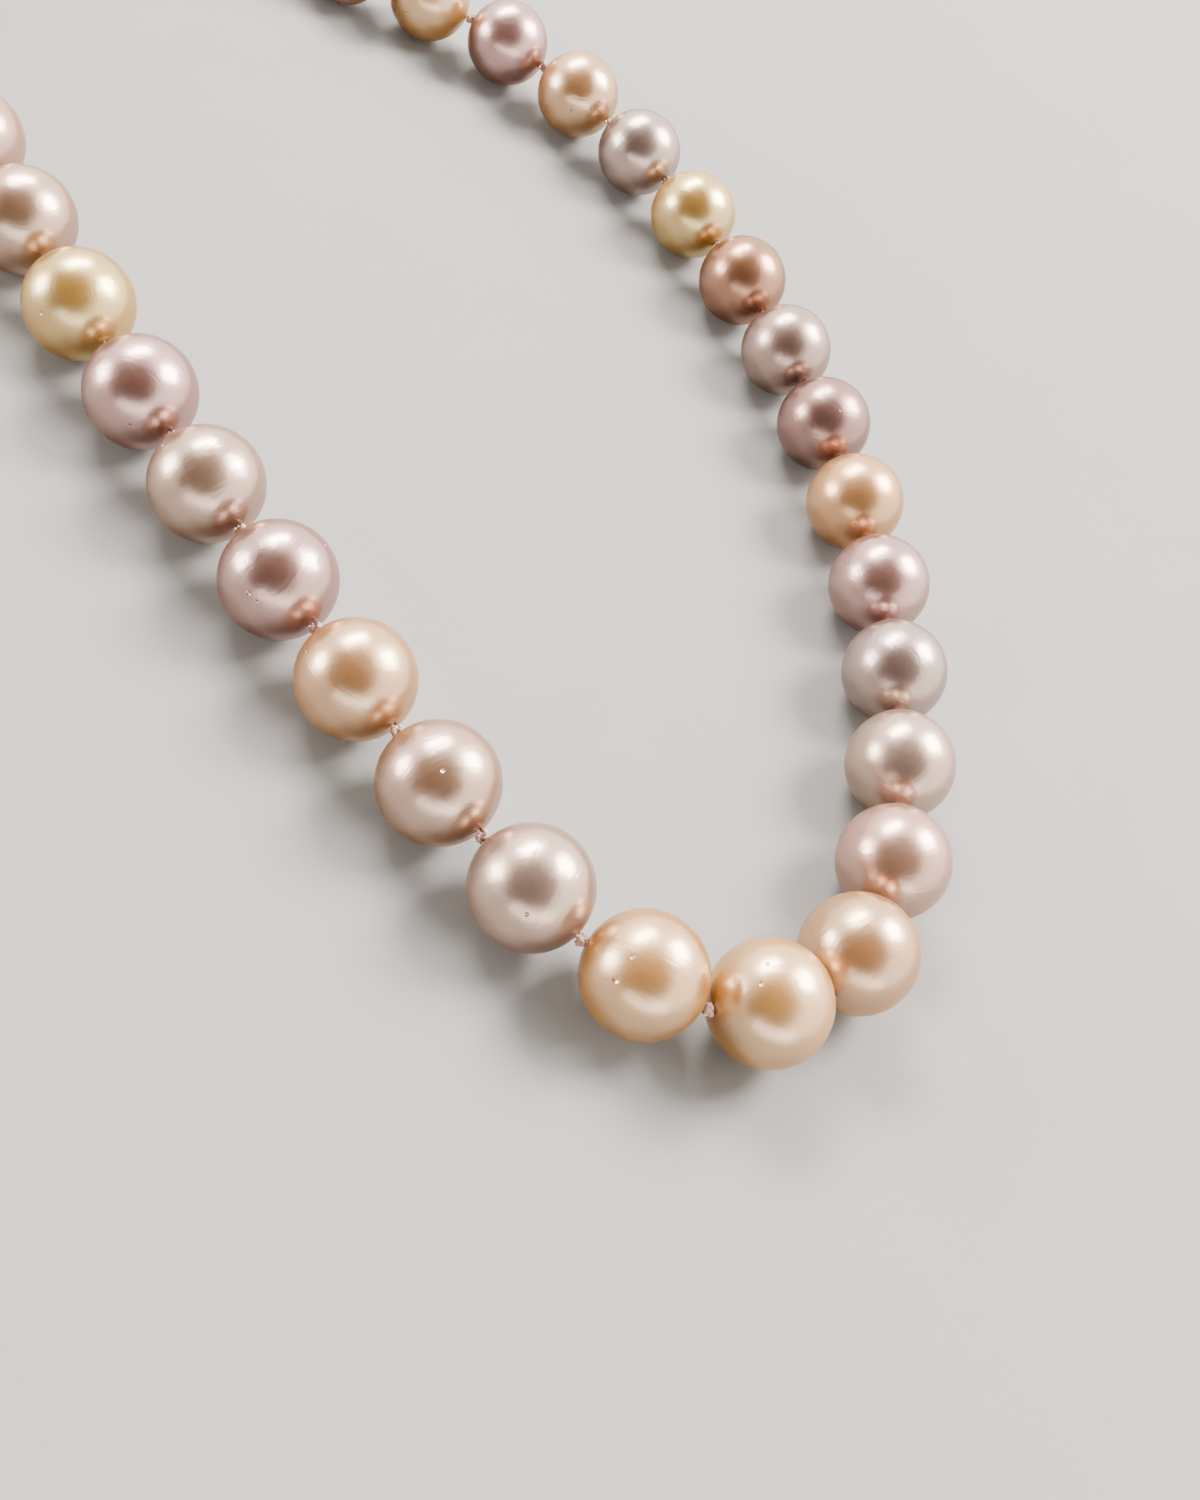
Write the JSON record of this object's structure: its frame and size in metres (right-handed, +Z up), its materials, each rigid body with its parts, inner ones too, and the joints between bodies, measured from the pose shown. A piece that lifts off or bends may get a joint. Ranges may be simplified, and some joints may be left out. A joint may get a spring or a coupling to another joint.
{
  "type": "pearl necklace",
  "caption": "Single strand of graduated pearls in mixed cream, rose and silver tones, hand-knotted on silk, with a gold lobster clasp and end ring.",
  "frame": {"origin": "middle of the strand's outline, on the surface that it lies on", "axes": "+Y from the front pearl towards the clasp, +X the wearer's left side, +Z up from the surface"},
  "size_m": [0.1226, 0.2178, 0.0145],
  "materials": {
    "pearl_cream": "lustrous nacre",
    "pearl_peach": "lustrous nacre",
    "pearl_beige": "lustrous nacre",
    "pearl_rose": "lustrous nacre",
    "pearl_silver": "lustrous nacre",
    "pearl_mauve": "lustrous nacre",
    "silk": "twisted silk",
    "gold_wire": "coiled fine wire",
    "gold": "polished",
    "spring_steel": "plain"
  },
  "bodies": {
    "front": {"pearl_front": "pearl_cream", "silk": "silk"},
    "right_01": {"pearl_right_01": "pearl_peach"},
    "right_02": {"pearl_right_02": "pearl_rose"},
    "right_03": {"pearl_right_03": "pearl_silver"},
    "right_04": {"pearl_right_04": "pearl_beige"},
    "right_05": {"pearl_right_05": "pearl_mauve"},
    "right_06": {"pearl_right_06": "pearl_peach"},
    "right_07": {"pearl_right_07": "pearl_mauve"},
    "right_08": {"pearl_right_08": "pearl_beige"},
    "right_09": {"pearl_right_09": "pearl_rose"},
    "right_10": {"pearl_right_10": "pearl_cream"},
    "right_11": {"pearl_right_11": "pearl_silver"},
    "right_12": {"pearl_right_12": "pearl_peach"},
    "right_13": {"pearl_right_13": "pearl_mauve"},
    "right_14": {"pearl_right_14": "pearl_cream"},
    "right_15": {"pearl_right_15": "pearl_rose"},
    "left_01": {"pearl_left_01": "pearl_cream"},
    "left_02": {"pearl_left_02": "pearl_silver"},
    "left_03": {"pearl_left_03": "pearl_beige"},
    "left_04": {"pearl_left_04": "pearl_peach"},
    "left_05": {"pearl_left_05": "pearl_mauve"},
    "left_06": {"pearl_left_06": "pearl_beige"},
    "left_07": {"pearl_left_07": "pearl_mauve"},
    "left_08": {"pearl_left_08": "pearl_cream"},
    "left_09": {"pearl_left_09": "pearl_peach"},
    "left_10": {"pearl_left_10": "pearl_rose"},
    "left_11": {"pearl_left_11": "pearl_silver"},
    "left_12": {"pearl_left_12": "pearl_cream"},
    "left_13": {"pearl_left_13": "pearl_rose"},
    "left_14": {"pearl_left_14": "pearl_peach"},
    "left_15": {"pearl_left_15": "pearl_beige"},
    "loop_right": {"french_wire_right": "gold_wire"},
    "loop_left": {"french_wire_left": "gold_wire"},
    "jump_ring": {"jump_ring": "gold"},
    "end_ring": {"end_ring": "gold"},
    "clasp": {"clasp_body": "gold", "clasp_rivet": "gold", "clasp_spring": "spring_steel"},
    "lever": {"clasp_lever": "gold"}
  },
  "joints": [
    {"name": "clasp_lever", "type": "hinge", "parent": "clasp", "child": "lever", "pos_m": [0.00219, 0.08859, 0.0017], "axis": [0, 0, 1], "range_deg": [0, 22], "stiffness_Nm_per_rad": 0.001, "springref_deg": -5.73, "deforming": ["clasp_spring"]},
    {"name": "clasp_swivel", "type": "hinge", "parent": "jump_ring", "child": "clasp", "pos_m": [0.00524, 0.086, 0.0017], "axis": [0, 0, 1], "range_deg": [-50, 50]},
    {"name": "jump_ring_swing", "type": "hinge", "parent": "loop_right", "child": "jump_ring", "pos_m": [0.00756, 0.0848, 0.00317], "axis": [0.4591, 0.8884, 0], "range_deg": [-45, 45]},
    {"name": "loop_right_lift", "type": "hinge", "parent": "right_15", "child": "loop_right", "pos_m": [0.01019, 0.08344, 0.00628], "axis": [0.4591, 0.8884, 0], "range_deg": [-12, 80], "deforming": ["silk"]},
    {"name": "end_ring_swing", "type": "hinge", "parent": "loop_left", "child": "end_ring", "pos_m": [-0.02199, 0.1056, 0.00389], "axis": [0.5974, 0.4825, 0.6406], "range_deg": [-50, 50]},
    {"name": "loop_left_lift", "type": "hinge", "parent": "left_15", "child": "loop_left", "pos_m": [-0.02476, 0.10336, 0.00629], "axis": [0.6284, -0.7779, 0], "range_deg": [0, 66], "deforming": ["silk"]},
    {"name": "knot_right_01_swing", "type": "hinge", "parent": "front", "child": "right_01", "pos_m": [0.00278, -0.10298, 0.00722], "axis": [0, 0, -1], "range_deg": [0, 45], "deforming": ["silk"]},
    {"name": "knot_left_01_swing", "type": "hinge", "parent": "front", "child": "left_01", "pos_m": [-0.01278, -0.10024, 0.00722], "axis": [0, 0, 1], "range_deg": [-3, 45], "deforming": ["silk"]},
    {"name": "knot_right_02_lift", "type": "hinge", "parent": "right_01", "child": "right_02", "pos_m": [0.01649, -0.09538, 0.00716], "axis": [-0.6323, 0.7747, 0], "range_deg": [-34, 34], "deforming": ["silk"]},
    {"name": "knot_left_02_lift", "type": "hinge", "parent": "left_01", "child": "left_02", "pos_m": [-0.02347, -0.08877, 0.00716], "axis": [-0.8471, -0.5314, 0], "range_deg": [-33, 33], "deforming": ["silk"]},
    {"name": "knot_right_03_swing", "type": "hinge", "parent": "right_02", "child": "right_03", "pos_m": [0.02661, -0.08356, 0.0071], "axis": [0, 0, -1], "range_deg": [-8, 45], "deforming": ["silk"]},
    {"name": "knot_left_03_swing", "type": "hinge", "parent": "left_02", "child": "left_03", "pos_m": [-0.0291, -0.07426, 0.0071], "axis": [0, 0, 1], "range_deg": [-6, 45], "deforming": ["silk"]},
    {"name": "knot_right_04_lift", "type": "hinge", "parent": "right_03", "child": "right_04", "pos_m": [0.0351, -0.07066, 0.00704], "axis": [0.863, -0.5051, 0], "range_deg": [-40, 40], "deforming": ["silk"]},
    {"name": "knot_left_04_lift", "type": "hinge", "parent": "left_03", "child": "left_04", "pos_m": [-0.03341, -0.05943, 0.00704], "axis": [0.9633, 0.2683, 0], "range_deg": [-40, 40], "deforming": ["silk"]},
    {"name": "knot_right_05_swing", "type": "hinge", "parent": "right_04", "child": "right_05", "pos_m": [0.04213, -0.05705, 0.00698], "axis": [0, 0, 1], "range_deg": [-45, 13], "deforming": ["silk"]},
    {"name": "knot_left_05_swing", "type": "hinge", "parent": "left_04", "child": "left_05", "pos_m": [-0.03736, -0.04463, 0.00698], "axis": [0, 0, -1], "range_deg": [-41, 7], "deforming": ["silk"]},
    {"name": "knot_right_06_lift", "type": "hinge", "parent": "right_05", "child": "right_06", "pos_m": [0.04766, -0.04289, 0.00692], "axis": [0.9493, -0.3145, 0], "range_deg": [-40, 40], "deforming": ["silk"]},
    {"name": "knot_left_06_lift", "type": "hinge", "parent": "left_05", "child": "left_06", "pos_m": [-0.04102, -0.02988, 0.00692], "axis": [0.9727, 0.2322, 0], "range_deg": [-40, 40], "deforming": ["silk"]},
    {"name": "knot_right_07_swing", "type": "hinge", "parent": "right_06", "child": "right_07", "pos_m": [0.05165, -0.02834, 0.00686], "axis": [0, 0, -1], "range_deg": [-20, 45], "deforming": ["silk"]},
    {"name": "knot_left_07_swing", "type": "hinge", "parent": "left_06", "child": "left_07", "pos_m": [-0.04439, -0.01518, 0.00686], "axis": [0, 0, 1], "range_deg": [-8, 41], "deforming": ["silk"]},
    {"name": "knot_right_08_lift", "type": "hinge", "parent": "right_07", "child": "right_08", "pos_m": [0.05407, -0.01358, 0.0068], "axis": [-0.9939, 0.1102, 0], "range_deg": [-40, 40], "deforming": ["silk"]},
    {"name": "knot_left_08_lift", "type": "hinge", "parent": "left_07", "child": "left_08", "pos_m": [-0.04748, -0.00054, 0.0068], "axis": [-0.9802, -0.1982, 0], "range_deg": [-40, 40], "deforming": ["silk"]},
    {"name": "knot_right_09_swing", "type": "hinge", "parent": "right_08", "child": "right_09", "pos_m": [0.05493, 0.00123, 0.00674], "axis": [0, 0, -1], "range_deg": [-34, 45], "deforming": ["silk"]},
    {"name": "knot_left_09_swing", "type": "hinge", "parent": "left_08", "child": "left_09", "pos_m": [-0.05029, 0.01403, 0.00674], "axis": [0, 0, 1], "range_deg": [-10, 42], "deforming": ["silk"]},
    {"name": "knot_right_10_lift", "type": "hinge", "parent": "right_09", "child": "right_10", "pos_m": [0.05425, 0.01594, 0.00668], "axis": [-0.9951, -0.0988, 0], "range_deg": [-40, 40], "deforming": ["silk"]},
    {"name": "knot_left_10_lift", "type": "hinge", "parent": "left_09", "child": "left_10", "pos_m": [-0.05283, 0.02853, 0.00668], "axis": [-0.9865, -0.1638, 0], "range_deg": [-40, 40], "deforming": ["silk"]},
    {"name": "knot_right_11_swing", "type": "hinge", "parent": "right_10", "child": "right_11", "pos_m": [0.05205, 0.03037, 0.00662], "axis": [0, 0, -1], "range_deg": [-35, 45], "deforming": ["silk"]},
    {"name": "knot_left_11_swing", "type": "hinge", "parent": "left_10", "child": "left_11", "pos_m": [-0.0551, 0.04295, 0.00662], "axis": [0, 0, 1], "range_deg": [-12, 45], "deforming": ["silk"]},
    {"name": "knot_right_12_lift", "type": "hinge", "parent": "right_11", "child": "right_12", "pos_m": [0.04838, 0.04438, 0.00656], "axis": [0.9356, 0.353, 0], "range_deg": [-40, 40], "deforming": ["silk"]},
    {"name": "knot_left_12_lift", "type": "hinge", "parent": "left_11", "child": "left_12", "pos_m": [-0.05432, 0.05741, 0.00656], "axis": [0.9875, -0.1577, 0], "range_deg": [-40, 40], "deforming": ["silk"]},
    {"name": "knot_right_13_swing", "type": "hinge", "parent": "right_12", "child": "right_13", "pos_m": [0.04194, 0.05721, 0.0065], "axis": [0, 0, 1], "range_deg": [-45, 30], "deforming": ["silk"]},
    {"name": "knot_left_13_swing", "type": "hinge", "parent": "left_12", "child": "left_13", "pos_m": [-0.05059, 0.07128, 0.0065], "axis": [0, 0, -1], "range_deg": [-45, 19], "deforming": ["silk"]},
    {"name": "knot_right_14_lift", "type": "hinge", "parent": "right_13", "child": "right_14", "pos_m": [0.03304, 0.06833, 0.00644], "axis": [0.7112, 0.703, 0], "range_deg": [-40, 40], "deforming": ["silk"]},
    {"name": "knot_left_14_lift", "type": "hinge", "parent": "left_13", "child": "left_14", "pos_m": [-0.04411, 0.08396, 0.00644], "axis": [0.838, -0.5457, 0], "range_deg": [-40, 40], "deforming": ["silk"]},
    {"name": "knot_right_15_swing", "type": "hinge", "parent": "right_14", "child": "right_15", "pos_m": [0.02212, 0.07728, 0.00638], "axis": [0, 0, -1], "range_deg": [-30, 45], "deforming": ["silk"]},
    {"name": "knot_left_15_swing", "type": "hinge", "parent": "left_14", "child": "left_15", "pos_m": [-0.03521, 0.09492, 0.00638], "axis": [0, 0, 1], "range_deg": [-30, 45], "deforming": ["silk"]}
  ]
}
